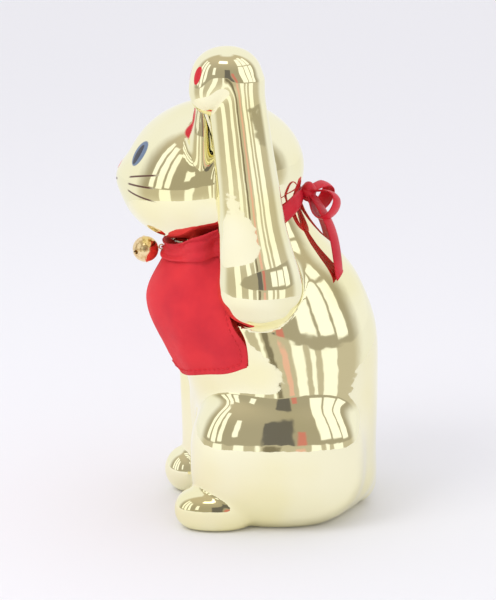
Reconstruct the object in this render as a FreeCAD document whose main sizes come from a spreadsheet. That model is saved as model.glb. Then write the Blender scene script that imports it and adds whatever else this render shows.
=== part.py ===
# Beckoning cat figurine: a hollow slip-cast ceramic cat with one raised paw, a cloth
# bib, a satin ribbon tied in a bow behind the neck, and a small jingle bell.
# Millimetres. The cat faces -Y, its left side is +X, and it stands on the plane Z = 0.
import FreeCAD, Part
import math
import os
import Sketcher
from FreeCAD import Placement, Rotation, Vector

os.makedirs("parts", exist_ok=True)
doc = FreeCAD.newDocument("beckoning_cat")

# ---------------------------------------------------------------- driving dimensions
# Torso sections from the foot ring up. Each is an oval, given by its rise above the
# section below it, the place of its middle on Y, its depth on Y and its width on X.
TORSO = {
    "foot_ring": (0, 14, 70, 74),
    "seat": (7, 17, 82, 87),
    "hip": (15, 18, 85, 90),
    "belly": (23, 18, 85, 88),
    "waist": (23, 15, 91, 83),
    "chest": (20, 9.5, 99, 80),
    "bust": (16, 5.5, 96, 77),
    "shoulder": (12, 4, 85, 70),
    "neck": (12, 1, 68, 59),
    "nape": (13, -2, 56, 52),
}
# Raised arm sections from the shoulder up: rise, middle on Y, depth on Y, width on X.
ARM = {
    "arm_heel": (0, 6, 14, 13),
    "arm_under": (4, 6, 27, 26),
    "arm_swell": (6, 5.8, 34, 33),
    "arm_root": (8, 5.5, 36, 34),
    "upper_arm": (13, 4.2, 34, 29),
    "elbow": (15, 2, 30, 25.6),
    "forearm": (15, 0.4, 27.8, 24),
    "low_wrist": (15, -1.4, 26.4, 23.2),
    "wrist": (15, -3, 25.2, 23),
    "paw_neck": (19, -6, 24, 22.4),
}
# Ear sections from the root up: shares of the ear's height, and of its root's width and depth.
EAR = ((0, 1, 1), (0.55, 0.72, 0.78), (0.85, 0.38, 0.5))
# How far the bib stands off the chest in front, at the torso sections that it covers.
BIB_STAND_OFF = {"belly": 10, "waist": 7, "chest": 4.4, "bust": 2.8, "shoulder": 2, "neck": 1.6}

SIZES = [
    ("wall", 4, "wall of the casting, all over"),
    ("arm_wall", 3.5, "wall of the raised arm's own casting"),
    ("drain_radius", 8, "drain hole through the floor of the casting"),
    ("vent_radius", 3, "vent from the body's hollow into the arm's hollow"),
    ("cranium_width", 77, "upper head on X"),
    ("cranium_length", 79, "upper head on Y"),
    ("cranium_height", 62, "upper head on Z"),
    ("cranium_middle", -14, "upper head's middle on Y"),
    ("cranium_rise", 19.5, "upper head's middle above the nape"),
    ("jaw_width", 76, "cheeks and jaw on X"),
    ("jaw_length", 73, "cheeks and jaw on Y"),
    ("jaw_height", 51, "cheeks and jaw on Z"),
    ("jaw_middle", -21, "cheeks' middle on Y"),
    ("jaw_rise", 10.5, "cheeks' middle above the nape"),
    ("muzzle_width", 30, "muzzle on X"),
    ("muzzle_length", 20, "muzzle on Y"),
    ("muzzle_height", 18, "muzzle on Z"),
    ("muzzle_reach", 1.6, "how far the muzzle stands in front of the cheeks"),
    ("muzzle_rise", 5, "muzzle's middle above the cheeks' middle"),
    ("ear_spacing", 52, "between the ears' middles"),
    ("ear_middle", -20, "ears' middle on Y"),
    ("ear_width", 24, "ear's root on X"),
    ("ear_depth", 13, "ear's root on Y"),
    ("ear_height", 30, "ear from its buried root to its tip"),
    ("ear_sink", 6, "ear's root below the upper head's middle, less the crown"),
    ("ear_tip_width", 4, "ear's blunt tip on X"),
    ("ear_tip_depth", 2.8, "ear's blunt tip on Y"),
    ("ear_dish_width", 12, "hollow in the front of the ear on X"),
    ("ear_dish_depth", 13, "ellipsoid that hollows the ear on Y"),
    ("ear_dish_height", 18, "hollow in the front of the ear on Z"),
    ("ear_dish_rise", 18.6, "ear's hollow above its root"),
    ("ear_dish_reach", 8.1, "middle of that ellipsoid in front of the ear's middle"),
    ("ear_splay", 14, "outward lean of the ears, degrees"),
    ("haunch_spacing", 44, "between the haunches' middles"),
    ("haunch_width", 56, "haunch on X"),
    ("haunch_length", 80, "haunch on Y"),
    ("haunch_height", 70, "haunch on Z"),
    ("haunch_middle", 13.5, "haunches' middle on Y"),
    ("haunch_rise", 28, "haunches' middle above the foot ring"),
    ("hind_foot_spacing", 70, "between the hind feet's middles"),
    ("hind_foot_width", 25, "hind foot on X"),
    ("hind_foot_length", 40, "hind foot on Y"),
    ("hind_foot_height", 22, "hind foot on Z"),
    ("hind_foot_middle", -13, "hind feet's middle on Y"),
    ("hind_foot_rise", 8.5, "hind feet's middle above the foot ring"),
    ("foreleg_offset", -16, "standing foreleg's axis on X"),
    ("foreleg_middle", -20.5, "standing foreleg's axis on Y"),
    ("foreleg_radius", 11, "standing foreleg"),
    ("foreleg_height", 66, "standing foreleg's shoulder above the foot ring"),
    ("front_paw_width", 23, "front paw on X"),
    ("front_paw_length", 23, "front paw on Y"),
    ("front_paw_height", 23, "front paw on Z"),
    ("front_paw_reach", 8, "front paw's middle ahead of the foreleg's axis"),
    ("front_paw_rise", 10.5, "front paw's middle above the foot ring"),
    ("tail_width", 26, "stub tail on X"),
    ("tail_length", 20, "stub tail on Y"),
    ("tail_height", 21, "stub tail on Z"),
    ("tail_reach", 50.5, "stub tail's middle on Y"),
    ("tail_rise", 10.5, "stub tail's middle above the foot ring"),
    ("arm_head_gap", 1.5, "air between the raised arm and the side of the head"),
    ("arm_tuck", 3, "how far the arm stands in, where the head falls away behind it"),
    ("arm_root_offset", 4.5, "arm root's middle outside the shoulder's side"),
    ("arm_root_drop", 4, "arm root's middle below the shoulder section"),
    ("paw_width", 24.4, "raised paw on X"),
    ("paw_length", 31, "raised paw on Y"),
    ("paw_height", 25, "raised paw on Z"),
    ("paw_reach", 2.5, "raised paw's middle ahead of the arm"),
    ("paw_rise", 3.5, "raised paw's middle above the arm's last section"),
    ("cloth", 1.2, "bib cloth with its turned edge"),
    ("bib_ease", 1.2, "bib's clearance at the sides of the chest"),
    ("bib_rear", -4, "bib's rear edges on Y"),
    ("bib_width", 82, "bib across the front"),
    ("bib_tuck", 1, "bib's top edge below the neck section"),
    ("bib_length", 62, "bib from its top edge to its lower edge"),
    ("bib_corner", 26, "radius of the bib's lower corners"),
    ("collar_width", 63, "neckband's middle line on X"),
    ("collar_depth", 63, "neckband's middle line, front to back"),
    ("collar_tilt", 18.6, "rise of the neckband to the rear, degrees"),
    ("collar_middle", -6.8, "neckband's middle on Y"),
    ("collar_rise", 4.5, "neckband's middle above the neck section"),
    ("band_height", 11, "folded neckband's height"),
    ("band_thickness", 2.6, "folded neckband's thickness"),
    ("band_end", 115, "where the band ends, degrees round from the front"),
    ("ribbon_width", 7, "satin ribbon"),
    ("ribbon_thickness", 1, "satin ribbon, doubled"),
    ("knot_width", 8, "bow knot on X"),
    ("knot_depth", 7, "bow knot on Y"),
    ("knot_height", 9, "bow knot on Z"),
    ("knot_rise", 6, "bow knot above the back of the neckband"),
    ("knot_stand_off", 4, "bow knot's middle behind the neckband's line"),
    ("loop_length", 15, "bow loop"),
    ("loop_bulge", 4.6, "radius of the bow loop's round end"),
    ("tail_end_drop", 33, "ribbon tail's fall"),
    ("tail_end_run", 20, "how far the ribbon tail spreads outward"),
    ("tail_bend_drop", 13.2, "fall to the middle of the ribbon tail's bend"),
    ("tail_bend_run", 11.2, "spread to the middle of the ribbon tail's bend"),
    ("tail_start_drop", 4, "ribbon tails' start below the knot's middle"),
    ("tail_turn", 42, "direction of the ribbon tails from straight back, degrees"),
    ("tail_lift", 1.5, "ribbon tails behind the knot's middle"),
    ("loop_start", 1.8, "bow loops' points from the middle of the knot on X"),
    ("loop_turn", 60, "direction of the bow loops from straight back, degrees"),
    ("loop_droop", 6, "bow loops below level, degrees"),
    ("bell_radius", 6, "jingle bell's outside"),
    ("bell_sheet", 0.5, "jingle bell's sheet brass"),
    ("seam_lip", 0.3, "rolled seam standing out of the bell"),
    ("seam_width", 0.9, "rolled seam's width"),
    ("slit_width", 0.9, "slit in the bell's front"),
    ("slit_length", 8, "slit from end hole to end hole"),
    ("slit_hole_radius", 1.05, "round hole at each end of the slit"),
    ("bail_radius", 1.1, "bail's ring, to the middle of its wire"),
    ("bail_wire", 0.3, "radius of the bail's wire"),
    ("bail_shank", 0.22, "radius of the bail's shank"),
    ("bail_clearance", 0.06, "bail's shank in its hole"),
    ("bail_head", 0.9, "radius of the bail's riveted head"),
    ("rivet_clearance", 0.15, "riveted head below the crown of the bell's inside"),
    ("bell_droop", 8, "bell's nose below level, degrees"),
    ("thread_wire", 0.3, "radius of the sewing thread, laid double"),
    ("thread_clearance", 0.2, "air between the bail's ring and the band's front"),
    ("thread_drop", 0.4, "thread above the neckband's middle line in front"),
    ("pellet_radius", 1.6, "loose steel ball inside the bell"),
    ("pellet_clearance", 0.1, "air under the ball"),
]

sheet = doc.addObject("Spreadsheet::Sheet", "sizes")
row = 0


def put(alias, value, meaning):
    """Write one driving dimension into the sheet and give its cell a name."""
    global row
    row += 1
    sheet.set(f"A{row}", alias)
    sheet.set(f"B{row}", str(value))
    sheet.set(f"C{row}", meaning)
    sheet.setAlias(f"B{row}", alias)


for part_sections in (TORSO, ARM):
    for station, (rise, middle, depth, width) in part_sections.items():
        put(f"{station}_rise", rise, "above the section below")
        put(f"{station}_middle", middle, "middle on Y")
        put(f"{station}_depth", depth, "depth on Y")
        put(f"{station}_width", width, "width on X")
for station, stand_off in BIB_STAND_OFF.items():
    put(f"bib_{station}", stand_off, "bib in front of the chest")
for alias, value, meaning in SIZES:
    put(alias, value, meaning)
doc.recompute()


def size(alias):
    """One driving dimension, read back from the sheet."""
    return float(sheet.get(alias))


def height_of(station):
    """Height of a torso section: the rises up to it, added up."""
    names = list(TORSO)
    return sum(size(f"{name}_rise") for name in names[:names.index(station) + 1])


NAPE = "(" + " + ".join(f"sizes.{name}_rise" for name in TORSO) + ")"
NECK = f"({NAPE} - sizes.nape_rise)"
SHOULDER = f"({NECK} - sizes.neck_rise)"


# ---------------------------------------------------------------- building blocks
def bind(thing, **expressions):
    """Tie properties to the sheet; x, y, z and turn stand for the placement's parts."""
    paths = {"x": "Placement.Base.x", "y": "Placement.Base.y", "z": "Placement.Base.z",
             "turn": "Placement.Rotation.Angle"}
    for name, expression in expressions.items():
        thing.setExpression(paths.get(name, name), expression)
    return thing


def primitive(kind, name, axis=None, **expressions):
    """A Part primitive whose sizes and place follow the sheet."""
    thing = doc.addObject(f"Part::{kind}", name)
    if axis:
        thing.Placement = Placement(Vector(), Rotation(Vector(*axis), 0))
    return bind(thing, **expressions)


def ellipsoid(name, x, y, z, width, length, height, inset="0", turn=None):
    """An ellipsoid from its middle and its three full sizes, shrunk all round by inset."""
    thing = primitive("Ellipsoid", name, axis=(0, 1, 0), x=x, y=y, z=z,
                      Radius1=f"({height}) / 2 - ({inset})",
                      Radius2=f"({width}) / 2 - ({inset})",
                      Radius3=f"({length}) / 2 - ({inset})")
    if turn:
        bind(thing, turn=turn)
    return thing


def fuse(name, pieces):
    """Join pieces one after another, which is far quicker than all at once."""
    joined = pieces[0]
    for number, piece in enumerate(pieces[1:], 1):
        step_name = name if number == len(pieces) - 1 else f"{name}_{number}"
        step = doc.addObject("Part::Fuse", step_name)
        step.Base = joined
        step.Tool = piece
        joined = step
    return joined


def cut(name, base, tool):
    thing = doc.addObject("Part::Cut", name)
    thing.Base = base
    thing.Tool = tool
    return thing


def carve(name, base, tools):
    """Cut several tools out of one piece, one after another."""
    for number, tool in enumerate(tools, 1):
        base = cut(name if number == len(tools) else f"{name}_{number}", base, tool)
    return base


def common(name, base, tool):
    thing = doc.addObject("Part::Common", name)
    thing.Base = base
    thing.Tool = tool
    return thing


def oval(name, x, y, z, width, depth, points=12):
    """A closed smooth section at height z: points of an ellipse, joined by a spline."""
    ring = []
    for step in range(points):
        angle = 2 * math.pi * step / points
        ring.append(Vector(x + width / 2 * math.cos(angle), y + depth / 2 * math.sin(angle), z))
    curve = Part.BSplineCurve()
    curve.interpolate(Points=ring, PeriodicFlag=True)
    section = doc.addObject("Part::Feature", name)
    section.Shape = Part.Wire([curve.toShape()])
    return section


def loft(name, sections):
    thing = doc.addObject("Part::Loft", name)
    thing.Sections = sections
    thing.Solid = True
    return thing


def torso(name, inset=0.0, floor=0.0):
    """The torso, shrunk all round by inset, with its lowest section raised to floor."""
    sections = []
    for station in TORSO:
        sections.append(oval(f"{name}_{station}", 0, size(f"{station}_middle"),
                             max(height_of(station), floor),
                             size(f"{station}_width") - 2 * inset,
                             size(f"{station}_depth") - 2 * inset))
    return loft(name, sections)


# ---------------------------------------------------------------- the cat's casting
def head(name, inset="0"):
    """Upper head and cheeks: two ellipsoids that overlap."""
    cranium = ellipsoid(f"{name}_cranium", "0", "sizes.cranium_middle",
                        f"{NAPE} + sizes.cranium_rise", "sizes.cranium_width",
                        "sizes.cranium_length", "sizes.cranium_height", inset)
    jaw = ellipsoid(f"{name}_jaw", "0", "sizes.jaw_middle", f"{NAPE} + sizes.jaw_rise",
                    "sizes.jaw_width", "sizes.jaw_length", "sizes.jaw_height", inset)
    return [cranium, jaw]


def haunch(name, side, inset="0"):
    return ellipsoid(name, f"{side} * sizes.haunch_spacing / 2", "sizes.haunch_middle",
                     "sizes.haunch_rise", "sizes.haunch_width", "sizes.haunch_length",
                     "sizes.haunch_height", inset)


def ear(name, side):
    """An ear: a loft from its buried root to a small round tip, dished in front."""
    sections = []
    for share, width, depth in EAR:
        sections.append(oval(f"{name}_{int(share * 100)}", 0, 0, share * size("ear_height"),
                             width * size("ear_width"), depth * size("ear_depth")))
    sections.append(oval(f"{name}_tip", 0, 0, size("ear_height"),
                         size("ear_tip_width"), size("ear_tip_depth")))
    blank = loft(f"{name}_blank", sections)
    dish = ellipsoid(f"{name}_dish", "0", "-sizes.ear_dish_reach", "sizes.ear_dish_rise",
                     "sizes.ear_dish_width", "sizes.ear_dish_depth", "sizes.ear_dish_height")
    shell = cut(name, blank, dish)
    shell.Placement = Placement(Vector(), Rotation(Vector(0, 1, 0), 0))
    return bind(shell, x=f"{side} * sizes.ear_spacing / 2", y="sizes.ear_middle",
                z=f"{NAPE} + sizes.cranium_rise + sizes.cranium_height / 2"
                  " - sizes.ear_height / 2 - sizes.ear_sink",
                turn=f"{side} * sizes.ear_splay")


foreleg = primitive("Cylinder", "foreleg", Radius="sizes.foreleg_radius",
                    Height="sizes.foreleg_height", x="sizes.foreleg_offset",
                    y="sizes.foreleg_middle")
foreleg_top = primitive("Sphere", "foreleg_top", Radius="sizes.foreleg_radius",
                        x="sizes.foreleg_offset", y="sizes.foreleg_middle",
                        z="sizes.foreleg_height")
front_paw = ellipsoid("front_paw", "sizes.foreleg_offset",
                      "sizes.foreleg_middle - sizes.front_paw_reach", "sizes.front_paw_rise",
                      "sizes.front_paw_width", "sizes.front_paw_length",
                      "sizes.front_paw_height")
muzzle = ellipsoid("muzzle", "0",
                   "sizes.jaw_middle - sizes.jaw_length / 2 - sizes.muzzle_reach"
                   " + sizes.muzzle_length / 2",
                   f"{NAPE} + sizes.jaw_rise + sizes.muzzle_rise",
                   "sizes.muzzle_width", "sizes.muzzle_length", "sizes.muzzle_height")
stub_tail = ellipsoid("stub_tail", "0", "sizes.tail_reach", "sizes.tail_rise",
                      "sizes.tail_width", "sizes.tail_length", "sizes.tail_height")
limbs = [foreleg, foreleg_top, front_paw, muzzle, stub_tail]
for side_name, side in (("left", 1), ("right", -1)):
    limbs.append(haunch(f"haunch_{side_name}", side))
    limbs.append(ear(f"ear_{side_name}", side))
    limbs.append(ellipsoid(f"hind_foot_{side_name}", f"{side} * sizes.hind_foot_spacing / 2",
                           "sizes.hind_foot_middle", "sizes.hind_foot_rise",
                           "sizes.hind_foot_width", "sizes.hind_foot_length",
                           "sizes.hind_foot_height"))

# Everything under the rest plane is cut away, so the limbs stand flat with the foot ring.
under_floor = primitive("Box", "under_floor", Length="4 * sizes.hip_width",
                        Width="4 * sizes.hip_depth", Height="sizes.haunch_height",
                        x="-2 * sizes.hip_width", y="-2 * sizes.hip_depth",
                        z="-sizes.haunch_height")
blended = fuse("outer_blend", [torso("outer_torso")] + head("outer") + limbs)
outer_form = cut("outer_form", blended, under_floor)

# The hollow follows the torso, haunches and head at the wall's distance. The ears, the
# muzzle, the feet, the legs and the tail are narrow enough to cast solid.
floor_slab = primitive("Box", "floor_slab", Length="4 * sizes.hip_width",
                       Width="4 * sizes.hip_depth", Height="sizes.haunch_height",
                       x="-2 * sizes.hip_width", y="-2 * sizes.hip_depth",
                       z="sizes.wall - sizes.haunch_height")
hollows = [torso("inner_torso", size("wall"), size("wall"))] + head("inner", "sizes.wall")
for side_name, side in (("left", 1), ("right", -1)):
    inner_haunch = haunch(f"inner_haunch_{side_name}", side, "sizes.wall")
    hollows.append(cut(f"haunch_hollow_{side_name}", inner_haunch, floor_slab))
drain = primitive("Cylinder", "drain", Radius="sizes.drain_radius", Height="4 * sizes.wall",
                  z="-sizes.wall")
vent = primitive("Cylinder", "vent", axis=(0, 1, 0), Radius="sizes.vent_radius",
                 Height="sizes.shoulder_width / 2", y="sizes.arm_root_middle",
                 z=f"{SHOULDER} - sizes.arm_root_drop", turn="90")
body_casting = carve("body_casting", outer_form, hollows + [drain, vent])


# ---------------------------------------------------------------- the raised arm
def arm_rise(station):
    """Height of an arm section above the arm's root: the rises between them, added up."""
    names = list(ARM)
    rise = sum(size(f"{name}_rise") for name in names[:names.index(station) + 1])
    return rise - sum(size(f"{name}_rise") for name in names[:names.index("arm_root") + 1])


def arm_line(station):
    """Middle of an arm section: it leans from the shoulder's side out past the head."""
    root_x = size("shoulder_width") / 2 + size("arm_root_offset")
    top_x = (size("cranium_width") / 2 + size("arm_head_gap") + size("low_wrist_width") / 2
             - size("arm_tuck"))
    rise = arm_rise(station)
    turn = min(1, max(0, rise) / arm_rise("low_wrist"))
    z = height_of("shoulder") - size("arm_root_drop") + rise
    return root_x + (top_x - root_x) * math.sin(math.pi / 2 * turn), size(f"{station}_middle"), z


def arm(name, inset=0.0):
    """The arm with its rounded root and its bent paw, shrunk all round by inset."""
    sections = []
    for station in ARM:
        x, y, z = arm_line(station)
        lift = inset if station == "arm_heel" else 0
        sections.append(oval(f"{name}_{station}", x, y, z + lift,
                             size(f"{station}_width") - 2 * inset,
                             size(f"{station}_depth") - 2 * inset))
    top_x, top_y, top_z = arm_line("paw_neck")
    paw = ellipsoid(f"{name}_paw", f"{top_x}", f"{top_y} - sizes.paw_reach",
                    f"{top_z} + sizes.paw_rise", "sizes.paw_width", "sizes.paw_length",
                    "sizes.paw_height", f"{inset}")
    return fuse(name, [loft(f"{name}_shaft", sections), paw])


arm_form = arm("arm_form")
arm_shell = cut("arm_shell", arm_form, arm("arm_hollow", size("arm_wall")))
raised_arm = cut("raised_arm", arm_shell, outer_form)
hard_form = fuse("hard_form", [outer_form, arm_form])


# ---------------------------------------------------------------- bib and neckband
def chest_sheet(name, inside):
    """The bib's surface: the chest's sections, let out in front by the bib's stand-off."""
    sections = []
    for station in BIB_STAND_OFF:
        stand_off = size(f"bib_{station}") - inside
        depth = size(f"{station}_depth") + stand_off
        side = size("bib_ease") + size("cloth") - inside
        sections.append(oval(f"{name}_{station}", 0, size(f"{station}_middle") - stand_off / 2,
                             height_of(station), size(f"{station}_width") + 2 * side, depth))
    return loft(name, sections)


def bib_outline():
    """The bib seen from the front: straight sides and two round lower corners."""
    half = size("bib_width") / 2
    radius = size("bib_corner")
    top = height_of("neck") - size("bib_tuck")
    low = top - size("bib_length")
    diagonal = radius * (1 - math.sqrt(0.5))
    corners = [Vector(-half, 0, top), Vector(-half, 0, low + radius),
               Vector(-half + diagonal, 0, low + diagonal), Vector(-half + radius, 0, low),
               Vector(half - radius, 0, low), Vector(half - diagonal, 0, low + diagonal),
               Vector(half, 0, low + radius), Vector(half, 0, top)]
    edges = [Part.LineSegment(corners[0], corners[1]), Part.Arc(*corners[1:4]),
             Part.LineSegment(corners[3], corners[4]), Part.Arc(*corners[4:7]),
             Part.LineSegment(corners[6], corners[7]), Part.LineSegment(corners[7], corners[0])]
    outline = doc.addObject("Part::Feature", "bib_outline")
    outline.Shape = Part.Face(Part.Wire([edge.toShape() for edge in edges]))
    outline.Placement = Placement(Vector(0, size("bib_rear"), 0), Rotation())
    return outline


bib_prism = doc.addObject("Part::Extrusion", "bib_prism")
bib_prism.Base = bib_outline()
bib_prism.DirMode = "Custom"
bib_prism.Dir = Vector(0, -1, 0)
bib_prism.Solid = True
bind(bib_prism, LengthFwd="sizes.chest_depth")
bib_front = common("bib_front", chest_sheet("bib_outside", 0), bib_prism)
bib_cloth = cut("bib_cloth", bib_front, chest_sheet("bib_inside", size("cloth")))


def collar_strip(name, first, last, width, thickness):
    """A strip on edge round the neck, swept along part of the tilted collar oval.

    Angles are degrees round from the middle of the front.
    """
    half_width = size("collar_width") / 2
    half_depth = size("collar_depth") / 2
    line = Part.Ellipse(Vector(), max(half_width, half_depth), min(half_width, half_depth))
    quarter = 0 if half_width > half_depth else 90
    line.rotate(Placement(Vector(), Rotation(Vector(0, 0, 1), quarter)))
    start = math.radians(first - 90 - quarter)
    end = math.radians(last - 90 - quarter)
    path = Part.Wire([Part.ArcOfEllipse(line, start, end).toShape()])
    at = path.Edges[0].valueAt(path.Edges[0].FirstParameter)
    along = path.Edges[0].tangentAt(path.Edges[0].FirstParameter)
    across = along.cross(Vector(0, 0, 1))
    up = Vector(0, 0, width / 2)
    out = across * (thickness / 2)
    corners = [at - up - out, at - up + out, at + up + out, at + up - out, at - up - out]
    strip = doc.addObject("Part::Feature", name)
    strip.Shape = path.makePipeShell([Part.makePolygon(corners)], True, False)
    strip.Placement = Placement(Vector(), Rotation(Vector(-1, 0, 0), 0))
    return bind(strip, y="sizes.collar_middle", z=f"{NECK} + sizes.collar_rise",
                turn="-sizes.collar_tilt")


# The folded band covers the front and the sides. The ribbon carries on behind, sewn to
# the band's ends, and both lie in the groove between head and shoulders.
band_blank = collar_strip("band_blank", -size("band_end"), size("band_end"),
                          size("band_height"), size("band_thickness"))
bib_neckband = cut("bib_neckband", band_blank, hard_form)
above_collar = primitive("Box", "above_collar", axis=(-1, 0, 0),
                         Length="2 * sizes.collar_width", Width="2 * sizes.collar_depth",
                         Height="sizes.collar_depth", x="-sizes.collar_width",
                         y="sizes.collar_middle - sizes.collar_depth * cos(sizes.collar_tilt)",
                         z=f"{NECK} + sizes.collar_rise - sizes.band_height / 2"
                           " - sizes.collar_depth * sin(sizes.collar_tilt)",
                         turn="-sizes.collar_tilt")
bib_panel = carve("bib_panel", bib_cloth, [above_collar, hard_form, band_blank])
ribbon_blank = collar_strip("ribbon_blank", size("band_end"), 360 - size("band_end"),
                            size("ribbon_width"), size("ribbon_thickness"))
knot_y = ("sizes.collar_middle + sizes.collar_depth / 2 * cos(sizes.collar_tilt)"
          " + sizes.knot_stand_off")
knot_z = (f"{NECK} + sizes.collar_rise + sizes.collar_depth / 2 * sin(sizes.collar_tilt)"
          " + sizes.knot_rise")
knot_blank = ellipsoid("knot_blank", "0", knot_y, knot_z, "sizes.knot_width",
                       "sizes.knot_depth", "sizes.knot_height")
neck_ribbon = carve("neck_ribbon", ribbon_blank, [outer_form, knot_blank])
bow_knot = cut("bow_knot", knot_blank, outer_form)


# ---------------------------------------------------------------- bow
def flat_body(name, draw, thickness):
    """A PartDesign body: one sketch on the XZ plane, padded equally to both sides."""
    body = doc.addObject("PartDesign::Body", name)
    sketch = body.newObject("Sketcher::SketchObject", f"{name}_outline")
    plane = next(item for item in body.Origin.OriginFeatures if item.Role == "XZ_Plane")
    sketch.AttachmentSupport = [(plane, "")]
    sketch.MapMode = "FlatFace"
    draw(sketch)
    pad = body.newObject("PartDesign::Pad", f"{name}_pad")
    pad.Profile = sketch
    pad.Midplane = True
    pad.setExpression("Length", thickness)
    return body


def draw_loop(sketch):
    """A ribbon loop on edge: a drop, with its point at the knot and a round far end."""
    reach = size("loop_length") - size("loop_bulge")
    lean = math.acos(size("loop_bulge") / reach)
    for radius in (size("loop_bulge"), size("loop_bulge") - size("ribbon_thickness")):
        above = Vector(reach - radius * math.cos(lean), radius * math.sin(lean), 0)
        below = Vector(above.x, -above.y, 0)
        point = Vector(reach - radius / math.cos(lean), 0, 0)
        far = Part.Arc(below, Vector(reach + radius, 0, 0), above)
        first = sketch.GeometryCount
        sketch.addGeometry([Part.LineSegment(point, below), far,
                            Part.LineSegment(above, point)], False)
        for edge in (first, first + 1, first + 2):
            sketch.addConstraint(Sketcher.Constraint("Block", edge))


def draw_tail(sketch):
    """A ribbon tail seen on edge: it leaves the knot, curves over and hangs down."""
    thick = size("ribbon_thickness")
    start = Vector(0, 0, 0)
    bend = Vector(size("tail_bend_run"), -size("tail_bend_drop"), 0)
    end = Vector(size("tail_end_run"), -size("tail_end_drop"), 0)
    inward = Vector(-thick, -thick, 0)
    inner_end = end - Vector(thick, 0, 0)
    sketch.addGeometry([Part.Arc(start, bend, end), Part.LineSegment(end, inner_end),
                        Part.Arc(start + inward, bend + inward, inner_end),
                        Part.LineSegment(start + inward, start)], False)
    for edge in range(4):
        sketch.addConstraint(Sketcher.Constraint("Block", edge))


bow_pieces = []
for side_name, side in (("left", 1), ("right", -1)):
    bow_loop = flat_body(f"loop_blank_{side_name}", draw_loop, "sizes.ribbon_width")
    turn = Rotation(Vector(0, 0, 1), 90 - side * size("loop_turn"))
    bow_loop.Placement = Placement(Vector(), turn * Rotation(Vector(0, 1, 0), size("loop_droop")))
    bind(bow_loop, x=f"{side} * sizes.loop_start", y=knot_y, z=knot_z)
    bow_pieces.append(carve(f"bow_loop_{side_name}", bow_loop, [outer_form, knot_blank]))
for side_name, side in (("left", 1), ("right", -1)):
    tail = flat_body(f"tail_blank_{side_name}", draw_tail, "sizes.ribbon_width")
    tail.Placement = Placement(Vector(), Rotation(Vector(0, 0, 1), 90 - side * size("tail_turn")))
    bind(tail, x=f"{side} * sizes.ribbon_width / 2", y=f"{knot_y} + sizes.tail_lift",
         z=f"{knot_z} - sizes.tail_start_drop")
    others = [outer_form, knot_blank, ribbon_blank] + bow_pieces
    bow_pieces.append(carve(f"ribbon_tail_{side_name}", tail, others))


# ---------------------------------------------------------------- bell
# The bell is drawn upright about its own centre, with its bail on top, and then laid
# forward so that its nose points along -Y and a little down.
BAND_FRONT = ("(sizes.collar_middle - (sizes.collar_depth / 2 + sizes.band_thickness / 2)"
              " * cos(sizes.collar_tilt))")
THREAD_REACH = ("((sizes.bail_radius + sizes.bail_wire + sizes.thread_clearance"
                " + sizes.thread_drop * sin(sizes.collar_tilt)) / cos(sizes.collar_tilt))")
THREAD_Z = (f"({NECK} + sizes.collar_rise - sizes.collar_depth / 2 * sin(sizes.collar_tilt)"
            " + sizes.thread_drop)")
BAIL_RISE = "(sizes.bell_radius + sizes.bail_clearance + sizes.bail_wire + sizes.bail_radius)"
BELL_Y = f"({BAND_FRONT} - {THREAD_REACH} - {BAIL_RISE} * cos(sizes.bell_droop))"
BELL_Z = f"({THREAD_Z} - {BAIL_RISE} * sin(sizes.bell_droop))"


def lay(piece):
    """Lay an upright bell piece forward onto the bell's centre."""
    piece.Placement = Placement(Vector(), Rotation(Vector(-1, 0, 0), 90))
    return bind(piece, y=BELL_Y, z=BELL_Z, turn="90 - sizes.bell_droop")


def half_shell(name, low, high, lip_z, openings):
    """Half of the bell's sphere with half of the rolled seam, hollowed and pierced."""
    ball = primitive("Sphere", f"{name}_ball", Radius="sizes.bell_radius")
    ball.Angle1 = low
    ball.Angle2 = high
    lip = primitive("Cylinder", f"{name}_lip", Radius="sizes.bell_radius + sizes.seam_lip",
                    Height="sizes.seam_width / 2", z=lip_z)
    inside = primitive("Sphere", f"{name}_inside", Radius="sizes.bell_radius - sizes.bell_sheet")
    return lay(carve(name, fuse(f"{name}_blank", [ball, lip]), [inside] + openings))


bail_hole = primitive("Cylinder", "bail_hole", Radius="sizes.bail_shank + sizes.bail_clearance",
                      Height="2 * sizes.bell_radius")
slit = primitive("Box", "slit", Length="sizes.slit_length", Width="sizes.slit_width",
                 Height="1.5 * sizes.bell_radius", x="-sizes.slit_length / 2",
                 y="-sizes.slit_width / 2", z="-2 * sizes.bell_radius")
slit_ends = [primitive("Cylinder", f"slit_end_{number}", Radius="sizes.slit_hole_radius",
                       Height="1.5 * sizes.bell_radius", x=f"{side} * sizes.slit_length / 2",
                       z="-2 * sizes.bell_radius")
             for number, side in enumerate((-1, 1))]
bell_back_shell = half_shell("bell_back_shell", 0, 90, "0", [bail_hole])
bell_front_shell = half_shell("bell_front_shell", -90, 0, "-sizes.seam_width / 2",
                              [slit] + slit_ends)

bail_ring = primitive("Torus", "bail_ring", axis=(0, 1, 0), Radius1="sizes.bail_radius",
                      Radius2="sizes.bail_wire", z=BAIL_RISE, turn="90")
shank_low = "(sizes.bell_radius - sizes.bell_sheet - sizes.rivet_clearance)"
bail_shank = primitive("Cylinder", "bail_shank", Radius="sizes.bail_shank", z=shank_low,
                       Height=f"{BAIL_RISE} - sizes.bail_radius - {shank_low}")
bail_rivet = primitive("Cylinder", "bail_rivet", Radius="sizes.bail_head",
                       Height="sizes.bail_wire", z=f"{shank_low} - sizes.bail_wire")
bell_loop = lay(fuse("bell_loop", [bail_ring, bail_shank, bail_rivet]))

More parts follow.
